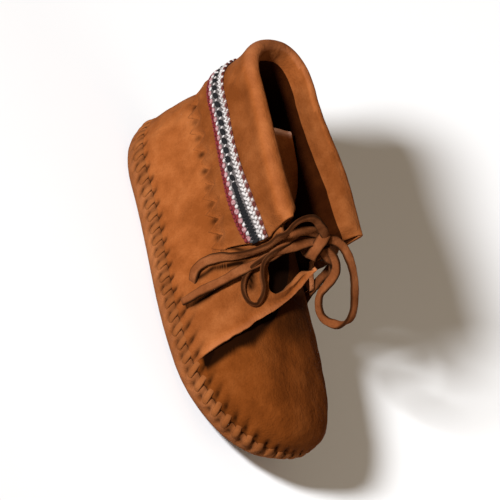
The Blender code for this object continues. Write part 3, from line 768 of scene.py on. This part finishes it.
def make_lights():
    """One low key light on the wearer's right, and a weak warm fill and surround."""
    key = area_light("key", place=(-0.51, 0.0, 0.21), at=(0.0, 0.0, 0.03), size=0.06, power=8.3)
    even_falloff(key, reach=0.54)
    area_light("fill", place=(0.24, -0.32, 0.22), at=(0.08, -0.08, 0.0), size=0.4, power=0.34,
               color=(1.0, 0.91, 0.78))
    world = bpy.data.worlds.new("studio")
    world.use_nodes = True
    tree = world.node_tree
    fill(tree, tree.nodes["Background"], {"Color": (1.0, 0.76, 0.52), "Strength": 0.24})
    bpy.context.scene.world = world
    bpy.context.scene.view_settings.view_transform = "Standard"


def make_floor():
    """White paper, 6 m square."""
    mesh = bpy.data.meshes.new("floor")
    mesh.from_pydata([(-3, -3, 0), (3, -3, 0), (3, 3, 0), (-3, 3, 0)], [], [(0, 1, 2, 3)])
    mat, tree, shader = nodes_of("floor_paper")
    fill(tree, shader, {"Base Color": (0.745, 0.765, 0.795), "Roughness": 0.9,
                        "Specular IOR Level": 0.1})
    mesh.materials.append(mat)
    add_object("floor", mesh)


# -------- lace
def catmull(rows, count):
    """Evenly spaced points of a smooth curve through the rows."""
    rows = np.array(rows, float)
    rows = np.vstack([2 * rows[0] - rows[1], rows, 2 * rows[-1] - rows[-2]])
    t = np.linspace(0.0, 1.0, 24, endpoint=False)[:, None]
    fine = []
    for a, b, c, d in zip(rows, rows[1:], rows[2:], rows[3:]):
        fine.append(0.5 * (2 * b + (c - a) * t + (2 * a - 5 * b + 4 * c - d) * t * t
                           + (3 * b - a - 3 * c + d) * t ** 3))
    fine = np.vstack(fine + [rows[-2:-1]])
    gone = distance(fine[:, :3])
    even = np.linspace(0.0, gone[-1], count)
    return np.stack([np.interp(even, gone, column) for column in fine.T], axis=1)


def rounded(value, power):
    """A circle's cosine or sine made squarer, with its sign kept."""
    return np.sign(value) * np.abs(value) ** power


def thong(name, node, rows, width=THONG_WIDTH, thick=THONG_THICK, seed=0.0, cut=0.0,
          away_from=None, raised=0.0):
    """Flat strap with soft edges; its flat side looks away from the shoe, turned as told."""
    length = distance(catmull(rows, 60)[:, :3])[-1]
    count = max(int(length / 0.7), 12)
    sides = 20
    path = catmull(rows, count)
    line, turn = path[:, :3], np.radians(path[:, 3:])
    tangent = unit(np.gradient(line, axis=0))
    if away_from is None:
        away_from = np.stack([np.full(count, -2.0), line[:, 1], np.full(count, 24.0)], axis=1)
    away = line - away_from
    away = unit(away - tangent * (away * tangent).sum(axis=1, keepdims=True))
    line = line + away * raised
    across = unit(np.cross(tangent, away))
    flat = np.cos(turn) * across + np.sin(turn) * away
    face = np.cos(turn) * away - np.sin(turn) * across
    around = np.linspace(0.0, 2 * math.pi, sides, endpoint=False)
    reach = rounded(np.cos(around), 0.45)
    lift = rounded(np.sin(around), 0.7)
    t = np.linspace(0.0, length, count)[:, None]
    wide = width / 2 * (1 + 0.06 * np.sin(t * 0.55 + seed) + 0.03 * np.sin(t * 1.7 + seed))
    wide = wide * (1 - cut * ease((t - length + 3.0) / 3.0))
    high = thick / 2 * lift + 0.22 * np.sin(t * 0.35 + seed) * (reach ** 2 - 0.5)
    rings = (line[:, None] + flat[:, None] * (wide * reach)[..., None]
             + face[:, None] * high[..., None])
    # painted shade along the strap's two edges
    shade = np.tile(-0.9 * np.clip(np.abs(reach) - 0.68, 0.0, 1.0) / 0.32, count)
    piece = add_piece(name, rings, tube_faces(count, sides), [THONG], (node,), shade)
    return piece, line, length


def make_knot():
    """Wrap of the bow: a little over one turn round the bundle of strands."""
    middle = np.array(KNOT_MIDDLE)
    rise = unit(np.array(KNOT_RISE))
    face = unit(np.array(KNOT_FACE) - rise * (np.array(KNOT_FACE) @ rise))
    side = np.cross(rise, face)
    rows = []
    for turn in range(-150, 271, 30):
        angle = math.radians(turn)
        spot = (middle + rise * KNOT_ROUND[0] * math.sin(angle)
                + face * KNOT_ROUND[1] * math.cos(angle) + side * (turn - 60) / 110.0)
        rows.append((*spot, 0.0))
    thong("lace_knot_wrap", "lace_knot", rows, width=3.9, thick=1.3, seed=1.0, away_from=middle)


def make_lace():
    """The bow in front: knot, two loops, two ends and the thong they are tied in."""
    make_knot()
    cords = (("thong_loop_right", LOOP_RIGHT, "lace_loop_right", "object", 0.0),
             ("thong_loop_left", LOOP_LEFT, "lace_loop_left", "object", 2.0),
             ("thong_end_right", END_RIGHT, "lace_end_right", "bare", 4.0),
             ("thong_end_left", END_LEFT, "lace_end_left", "bare", 5.0))
    for name, rows, node, far_end, seed in cords:
        piece, line, length = thong(name, node, rows, seed=seed, raised=0.6,
                                    cut=0.25 if far_end == "bare" else 0.0)
    thong("thong_bar_right", "lace_bar", ARCH, seed=7.0, raised=0.7)
    thong("thong_bar_left", "lace_bar", BAR_LEFT, seed=8.0)


# -------- sole and insole
def floor_ring(c, part, height, shrink=0.0):
    """A ring of the underside, lifted by height: part 1 is the outline, 0 the middle line."""
    x, s = plan(c, np.zeros_like(c), FORM)
    half = np.abs(x)
    x = x * np.where(half > 0.01, np.maximum(half - shrink, 0.0) / np.maximum(half, 0.01), 0.0)
    middle = LENGTH / 2
    s = middle + (s - middle) * (1 - shrink / middle)
    s = middle + (s - middle) * mix(0.72, 1.0, part)
    return sprung(x * part, s, np.full_like(s, height))


def build_sole():
    """Soft sole wrapped up to the seam, with the hide drawn in at each stitch."""
    c = stitch_c(np.arange(STITCHES * 9) / 9)
    even = np.linspace(0.0, 2.0, len(c), endpoint=False)
    parts = (0.0, 0.3, 0.6, 0.85, 1.0)
    rows = [floor_ring(mix(even, c, part), part, 0.0) for part in parts]
    shades = [np.zeros_like(c)] * len(parts)
    for z in SOLE_LEVELS:
        point, normal = shoe_surface(c, z, FORM)
        drawn, hole = pucker(c, z)
        soft = waves(point, ((24.0, 0.16), (9.0, 0.07))) * min(z / 4.0, 1.0)
        rows.append(point + normal * (drawn + seam_tuck(z, 9.9) + soft)[:, None])
        # painted shade in the stitch holes; darker at the floor and along the seam, lighter 5 mm
        # up
        shades.append(-0.85 * hole - 0.18 * bell(z, 0.0, 1.2) - 0.3 * bell(z, 9.8, 0.5)
                      + 0.10 * bump(z, 5.0, 3.0))
    weld(add_sheet("sole_skin", np.array(rows), SOLE_WALL, [SOLE_SUEDE, SHADED_FLESH],
                   ("sole",), np.array(shades), closed=True))


def build_insole():
    """Lining sheet, lying unevenly on the sole."""
    c = np.linspace(0.0, 2.0, 160, endpoint=False)
    rows = []
    for part in np.linspace(0.0, 1.0, 9):
        point = floor_ring(c, part, INSOLE_Z, INSOLE_GAP)
        point[:, 2] += waves(point, ((30.0, 0.25), (13.0, 0.12))) * (1 - part ** 4)
        rows.append(point)
    weld(add_sheet("insole_skin", np.array(rows), INSOLE_WALL, [INSOLE_HIDE],
                   ("insole",), closed=True))


# -------- upper
def collar_top(s):
    return COLLAR_BACK - COLLAR_FALL * s


def quarter_out(c, z):
    """How far the quarter rides outside the form: over the vamp it steps out by the vamp."""
    right, around = side_of(c)
    tail = np.where(right, EDGES["tail_right"](z), EDGES["tail_left"](z))
    over = 1.0 - ease((around - tail) / 0.08)
    return over * mix(FLAP_START, FLAP_LIFT, ease((z - 11.0) / 7.0))


def build_vamp():
    """Toe piece, gathered into the sole and running on under the flaps."""
    part = np.linspace(0.0, 1.0, 381)
    levels = np.concatenate([VAMP_LEVELS, spaced_heights(VAMP, 16.4, VAMP_TOP, 46)])
    z = np.repeat(levels[:, None], len(part), axis=1)
    c = mix(-EDGES["tail_left"](z), EDGES["tail_right"](z), part)
    point, normal = shoe_surface(c, z, VAMP)
    drawn, hole = pucker(c, z)
    soft = waves(point, ((26.0, 0.30), (12.0, 0.13))) * ease((z - 12.0) / 8.0)
    out = drawn + seam_tuck(z, 9.0) + soft + folds(point, VAMP_FOLDS)
    # painted shade in the stitch holes and where the hide is drawn in; darker along the seam
    shades = -0.9 * hole - 0.5 * bell(z, SEAM_Z, 0.5) - 0.10 * np.clip(-drawn, 0.0, 1.0)
    # shadow before and under the right flap's edge, wider higher up
    reach = mix(0.026, 0.062, ease((z - 24.0) / 9.0))
    under = ease((c - EDGES["flap_right"](z) + reach) / (0.42 * reach))
    shades -= 0.97 * under * ease((z - 12.5) / 1.5)
    # and in the throat, under tongue and lace
    shades -= 0.62 * ease((z - 30.9) / 1.6)
    add_sheet("vamp_skin", point + normal * out[..., None], VAMP_WALL, [VAMP_SUEDE, SHADED_FLESH, CUT],
              ("upper",), shades)


def quarter_tops(c, part):
    """Height of the quarter's top: low in the throat, hidden under the cuff behind it."""
    s = plan(c, np.full_like(c, 52.0), FORM)[1]
    high = collar_top(np.minimum(s, CUFF_FRONT)) - ROLL_DEPTH - QUARTER_HIDDEN
    from_edge = c - c[0]
    right = mix(THROAT["top"](from_edge), high, ease((from_edge - 0.16) / 0.07))
    left = mix(THROAT_TOP, high, ease((2.0 - c - 0.14) / 0.085))
    return np.where(part < 0.5, right, left)


def from_ends(points):
    """Distance of a grid's points from the nearer end of their rows."""
    gone = np.array([distance(row) for row in points])
    return np.minimum(gone, gone[:, -1:] - gone)


def build_quarter():
    """Heel, sides and the two flaps, whose free front edges curl off the vamp."""
    part = np.linspace(0.0, 1.0, 471)
    # columns close together at both front edges
    part = part - 0.10 * np.sin(2 * math.pi * part)
    c = mix(EDGES["flap_right"](THROAT_TOP), 2.0 - EDGES["flap_left"](THROAT_TOP), part)
    tops = quarter_tops(c, part)
    levels = np.concatenate([QUARTER_LEVELS, np.linspace(15.6, 33.6, 26)])
    rows = [np.full_like(part, level) for level in levels]
    rows += [mix(levels[-1], tops, t) for t in np.linspace(0.0, 1.0, 17)[1:]]
    z = np.array(rows)
    c = mix(EDGES["flap_right"](z), 2.0 - EDGES["flap_left"](z), part)
    point, normal = shoe_surface(c, z, FORM)
    from_edge = from_ends(point)
    drawn, hole = pucker(c, z)
    rise = ease((z - 12.0) / 6.0)
    proud = mix(0.5, 1.5, ease((z - 14.0) / 12.0))
    curl = rise * (proud * bell(from_edge, 0.0, 2.4) - 0.5 * bell(from_edge, 0.0, 6.0))
    soft = waves(point, ((31.0, 0.28), (13.0, 0.14))) * rise + folds(point, QUARTER_FOLDS)
    point = point + normal * (quarter_out(c, z) + drawn + seam_tuck(z, 9.0) + soft
                              + curl)[..., None]
    # painted shade in the stitch holes and in the notches under the teeth; darker along the seam
    shades = -0.9 * hole - 0.5 * bell(z, SEAM_Z, 0.5) - 0.9 * notch_shadows(c, z)
    # painted highlight along the flaps' curled front edges, and painted shadow beside the lace
    shades += 0.42 * rise * bell(from_edge, 0.0, 2.2) + folds(point, STRAP_SHADOWS)
    # the right flap is a little darker than the side behind it
    shades -= 0.16 * (1 - ease((c - 0.40) / 0.12))
    add_sheet("quarter_skin", point, QUARTER_WALL, [GOLD, SHADED_FLESH, CUT], ("upper",),
              shades)


# -------- cuff
def roll_half(s):
    """Half the thickness of the roll, which is plumper toward the front."""
    return mix(ROLL_HEEL, ROLL_FRONT, ease((s - 4.0) / 56.0))


def edge_height(s):
    """Height of the toothed edge, between its teeth."""
    return EDGE_BACK - EDGE_FALL * s


def cuff_profile(s, depth):
    """Distance out and height of each row, from the toothed edge up, over the roll and in."""
    bottom = edge_height(s)
    middle = collar_top(s) - ROLL_DEPTH
    half = roll_half(s)
    fall_low, fall_high = bottom + 3.5, middle - ROLL_LOW
    rows = []
    for t in np.linspace(0.0, 1.0, 9):
        rows.append((mix(0.12, CUFF_OUT, ease(t * 1.1)), mix(bottom - depth, fall_low, t)))
    for t in np.linspace(0.0, 1.0, 17)[1:]:
        rows.append((CUFF_OUT + 0.1 * t, mix(fall_low, fall_high, t)))
    for t in (0.25, 0.5, 0.75, 1.0):
        rows.append((CUFF_OUT + 0.1 + 0.75 * ease(t), mix(fall_high, middle, t)))
    for turn in range(15, 180, 15):
        angle = math.radians(turn)
        rows.append((ROLL_OUT - half * (1 - math.cos(angle)),
                     middle + ROLL_DEPTH * math.sin(angle)))
    for bulge, drop in CUFF_INSIDE:
        slope = mix(ROLL_OUT - 2.0 * half, CUFF_INSIDE_END, drop / CUFF_INSIDE[-1][1])
        rows.append((slope + bulge, middle - drop))
    outs, heights = zip(*[np.broadcast_arrays(out, z) for out, z in rows])
    return np.array(outs), np.array(heights)


def cuff_travel():
    """Part of the cuff's length gone, and s there, from its right front end to its left."""
    ends = [around_at(CUFF_FRONT, np.array(CUFF_Z), side) for side in ("right", "left")]
    c = np.linspace(ends[0], 2.0 - ends[1], 801)
    line = shoe_point(c, np.full_like(c, CUFF_Z), FORM)
    gone = distance(line)
    return gone / gone[-1], line[:, 1]


CUFF_GONE, CUFF_S = cuff_travel()
HEEL_ROW = int(np.argmin(CUFF_S))


def cuff_gone(s, side):
    """Part of the cuff's length gone at s on one of its sides."""
    if side == "right":
        return np.interp(s, CUFF_S[:HEEL_ROW][::-1], CUFF_GONE[:HEEL_ROW][::-1])
    return np.interp(s, CUFF_S[HEEL_ROW:], CUFF_GONE[HEEL_ROW:])


def facing_out(out):
    """1 on the cuff's outside, fading to 0 within the roll."""
    return ease((out + 1.6) / 1.6)


def cuff_surface(along, z, out):
    """Point and normal of the cuff's outer face; along runs 0 to 1 from its right front end."""
    s = np.interp(along, CUFF_GONE, CUFF_S)
    start, end = cuff_gone(CUFF_HEEL, "right"), cuff_gone(CUFF_HEEL, "left")
    ahead = np.maximum(s, CUFF_HEEL)
    right = around_at(ahead, z, "right")
    left = 2.0 - around_at(ahead + CUFF_FRONT_MORE * ahead / CUFF_FRONT, z, "left")
    c = mix(right, left, np.clip((along - start) / (end - start), 0.0, 1.0))
    point, normal = shoe_surface(c, np.minimum(z, FORM_TOP), FORM)
    point = point + normal * (out + quarter_out(c, z) * facing_out(out))[..., None]
    point[..., 2] += np.maximum(z - FORM_TOP, 0.0)
    return point, normal


def notch_shadows(c, z):
    """Painted shadow in the notches between the cuff's teeth, on the quarter below them."""
    s = plan(c, z, FORM)[1]
    along = np.where(side_of(c)[0], cuff_gone(s, "right"), cuff_gone(s, "left"))
    number = np.round(along * TEETH)
    side = (along * TEETH - number) * CUFF_LENGTH / TEETH
    strong = 0.6 + 0.4 * np.sin(number * 2.3) ** 2
    notch = bell(side, 0.0, 1.2) * bell(z, edge_height(s) - 1.6, 1.5)
    return strong * notch * (s < CUFF_FRONT - 3.0)


def build_cuff():
    """Turned-down collar: a puffy roll, a flat fall and a pinked sawtooth edge."""
    part = np.linspace(0.0, 1.0, TEETH * 14 + 1)
    s = np.interp(part, CUFF_GONE, CUFF_S)
    saw = 1 - np.abs(2 * np.mod(part * TEETH, 1.0) - 1)
    out, z = cuff_profile(s, TOOTH_DEPTH * saw)
    point, normal = cuff_surface(np.broadcast_to(part, z.shape), z, out)
    top = collar_top(s)
    fall = np.clip((top - z) / 24.0, 0.0, 1.0)
    soft = waves(point, ((27.0, 0.30), (11.0, 0.16))) + folds(point, CUFF_FOLDS) * facing_out(out)
    lift = 0.1 * bell(z, z[0], 1.6) * (out > 0)
    # at its front ends the roll is pinched flat
    pinched = 0.85 + (out - ROLL_OUT + roll_half(s)) * 0.4
    end = np.minimum(part, 1 - part) * CUFF_LENGTH
    move = soft * (0.4 + 0.6 * fall) + lift + (pinched - out) * bell(end, 0.0, 2.2)
    # painted shade over the fall above the teeth, less toward the heel; painted highlight on the
    # roll's top
    shades = -0.30 * ease((z - z[0]) / 6.0) * ease((s - 2.0) / 16.0)
    shades = shades + 0.42 * bump(z, top - 1.5, 4.0) * (out > -0.5)
    obj = add_sheet("cuff_skin", point + normal * move[..., None], CUFF_WALL,
                    [GOLD, SHADED_FLESH, GOLD, SHADED_FLESH], ("cuff",), shades)
    # inside rows start from the second material, near black as painted shade, gold at their back
    inside = np.zeros((z.shape[0] - 1, z.shape[1] - 1), int)
    inside[CUFF_INSIDE_ROW:] = 1
    obj.data.polygons.foreach_set("material_index", inside.ravel())


# -------- tongue
def build_tongue():
    """Slack flap under the lace, lying back over the opening."""
    s = np.linspace(TONGUE_FREE, TONGUE_FRONT, 60)[:, None]
    side = np.linspace(-1.0, 1.0, 40)
    x = TONGUE["shift"](s) + side * TONGUE["half"](s)
    z = TONGUE["z"](s) - TONGUE["droop"](s) * side ** 2
    points = np.stack([x, np.broadcast_to(s, x.shape), z], axis=-1)
    near = bump(s, TONGUE_FREE + 0.7, 8.0)
    points[..., 2] += waves(points, ((22.0, 0.5), (9.0, 0.2))) + 0.9 * near * side ** 2
    points[..., 2] -= 0.8 * bell(x, -3.0, 2.4) * (1 - near)
    # painted highlight along the free end's edge, a little darker over the rest
    shades = np.broadcast_to(bell(s, TONGUE_FREE, 1.1) - 0.15 * (1 - near), x.shape)
    add_sheet("tongue_skin", points, TONGUE_WALL, [TONGUE_SUEDE, SHADED_FLESH, PALE_EDGE_HIGHLIGHT],
              ("tongue",), shades)


# -------- stitches and braid
def build_stitches():
    """Whip stitch of narrow thong over the seam, from hole to hole."""
    turns = np.linspace(0.0, 1.0, 11)
    ring = np.linspace(0.0, 2 * math.pi, 8, endpoint=False)
    arch = np.sin(math.pi * turns) ** 0.6
    points, faces = [], []
    for number in np.arange(STITCHES):
        c = stitch_c(number)
        z = mix(STITCH_LOW - 0.3, stitch_top(c) + 0.3, turns)
        wide = mix(1.15, 1.10, toe_fade(c)) * (0.55 + 0.45 * arch)
        point, normal = shoe_surface(stitch_c(number + stitch_lean(c, z)), z, FORM)
        line = point + normal * mix(-1.5, 0.16, arch)[:, None]
        tangent = unit(np.gradient(line, axis=0))
        side = unit(np.cross(tangent, normal))
        face = np.cross(side, tangent)
        faces += tube_faces(len(turns), len(ring), len(points) * len(turns) * len(ring))
        points.append(line[:, None] + side[:, None] * (np.cos(ring) * wide[:, None])[..., None]
                      + face[:, None] * (np.sin(ring) * 0.50)[:, None])
    # painted shade on each stitch, deepest at its ends where it goes into the holes
    shades = np.tile(np.repeat(0.30 * arch - 0.50, len(ring)), STITCHES)
    add_piece("whip_stitches", np.array(points), faces, [THREAD], (), shades)


def bead_mesh():
    """Small ellipsoid: unit points and faces; three rings of 8 between two poles."""
    points = [(0.0, 0.0, 1.0)]
    for lat in (45, 90, 135):
        for lon in range(0, 360, 45):
            a, b = math.radians(lat), math.radians(lon)
            points.append((math.sin(a) * math.cos(b), math.sin(a) * math.sin(b), math.cos(a)))
    points.append((0.0, 0.0, -1.0))
    faces = []
    for k in range(8):
        n = (k + 1) % 8
        faces.append((0, 1 + k, 1 + n))
        faces.append((25, 17 + n, 17 + k))
        for ring in (1, 9):
            faces.append((ring + k, ring + 8 + k, ring + 8 + n, ring + n))
    return np.array(points), faces


BEAD_POINTS, BEAD_FACES = bead_mesh()


def braid_row(name, count):
    """Points and along, up and out directions of one line of the braid; s and swell there."""
    along = np.linspace(0.003, 0.997, count)
    s = np.interp(along, CUFF_GONE, CUFF_S)
    z = BRAID[name](s)
    point, normal = cuff_surface(along, z, np.full_like(z, BRAID_OUT))
    go = unit(np.gradient(point, axis=0))
    rise = unit(np.cross(normal, go))
    # beads have their given size where their part of the band is as wide as usual
    low, usual = ("black_high", 3.3) if name in ("rope", "head") else ("foot", 7.2)
    swell = (BRAID["head"](s) - BRAID[low](s)) / usual
    return point, go, rise * np.sign(rise[:, 2:3]), normal, s, swell


def bead_row(name, mat, line, pitch, size, lean, phase=0.0, shift=0.0, width=None):
    """One row of yarn beads along a line of the braid, shift above it; width varies with s."""
    point, go, rise, normal, s, swell = braid_row(line, 1600)
    gone = distance(point)
    at = np.arange((0.5 + phase) * pitch, gone[-1] - pitch * 0.4, pitch)

    def here(values):
        return np.stack([np.interp(at, gone, column) for column in values.T], axis=1)

    spot, go, rise, face = here(point), here(go), here(rise), here(normal)
    s, swell = here(np.stack([s, swell], axis=1)).T
    center = spot + rise * (shift * swell)[:, None] + face * BEAD_LIFT
    turn = math.radians(lean)
    first = unit(go * math.cos(turn) + rise * math.sin(turn))
    second = unit(rise * math.cos(turn) - go * math.sin(turn))
    points, faces = [], []
    for k in range(len(at)):
        wide = 1.0 if width is None else float(width(s[k]))
        if wide <= 0.0:
            continue
        # to_frame turns s round, so the corners run the other way
        base = len(points) * len(BEAD_POINTS)
        faces += [tuple(base + v for v in corners[::-1]) for corners in BEAD_FACES]
        points.append(center[k] + BEAD_POINTS[:, :1] * size[0] * first[k]
                      + BEAD_POINTS[:, 1:2] * size[1] * swell[k] * wide * second[k]
                      + BEAD_POINTS[:, 2:] * size[2] * face[k])
    add_piece(name, np.array(points), faces, [mat])


def ribbon(name, mat, low, high, out=0.15):
    """Flat woven ground of the braid between two of its lines."""
    first, last = braid_row(low, 420), braid_row(high, 420)
    rows = []
    for t in np.linspace(0.0, 1.0, 5):
        rows.append(mix(first[0], last[0], t) + first[3] * (out + 0.12 * math.sin(math.pi * t)))
    add_sheet(name, np.array(rows), BRAID_WALL, [mat])


def build_braid():
    """Woven band round the cuff: red cord, pale beads, black stripe, white rope, maroon dots."""
    ribbon("braid_ground_low", RED, "foot", "beads")
    ribbon("braid_ground_high", GREY, "beads", "rope", 0.25)
    ribbon("braid_ground_top", DUSKY, "rope", "head", 0.2)
    bead_row("braid_edge_cord", RED, "foot", 1.5, (0.85, 0.36, 0.40), 15)
    bead_row("braid_pale_beads", PINK, "beads", 3.2, (1.05, 0.66, 0.5), 20)
    bead_row("braid_pale_flecks", WHITE, "beads", 3.2, (0.85, 0.42, 0.45), 40, 0.5, shift=0.4)
    bead_row("braid_black_knots", BLACK, "black", 3.2, (1.55, 0.98, 0.5), -30, 0.5,
             width=lambda s: (s < 47.0) * mix(1.0, 0.75, ease((s - 36.0) / 8.0)))
    bead_row("braid_white_flecks", WHITE, "black", 3.2, (0.62, 0.28, 0.42), 50, 0.0,
             width=lambda s: s < 45.0)
    bead_row("braid_black_cord", BLACK, "black", 1.1, (0.8, 1.15, 0.5), 0,
             width=lambda s: (s >= 44.0) * mix(0.6, 1.05, ease((s - 44.0) / 14.0)))
    bead_row("braid_rope_lower", WHITE, "rope", 1.6, (0.95, 0.44, 0.5), -38, 0.5, shift=-0.42)
    bead_row("braid_rope_upper", WHITE, "rope", 1.6, (0.95, 0.44, 0.5), 38, shift=0.38)
    bead_row("braid_top_strands", WHITE, "head", 3.2, (0.60, 0.34, 0.40), 62, 0.5, shift=-0.35)
    bead_row("braid_top_dots", MAROON, "head", 3.2, (0.95, 0.60, 0.45), 15, shift=-0.3)


# -------- the shoe
make_camera()
make_lights()
make_floor()
make_lace()
build_sole()
build_insole()
build_vamp()
build_quarter()
build_cuff()
build_tongue()
build_stitches()
build_braid()
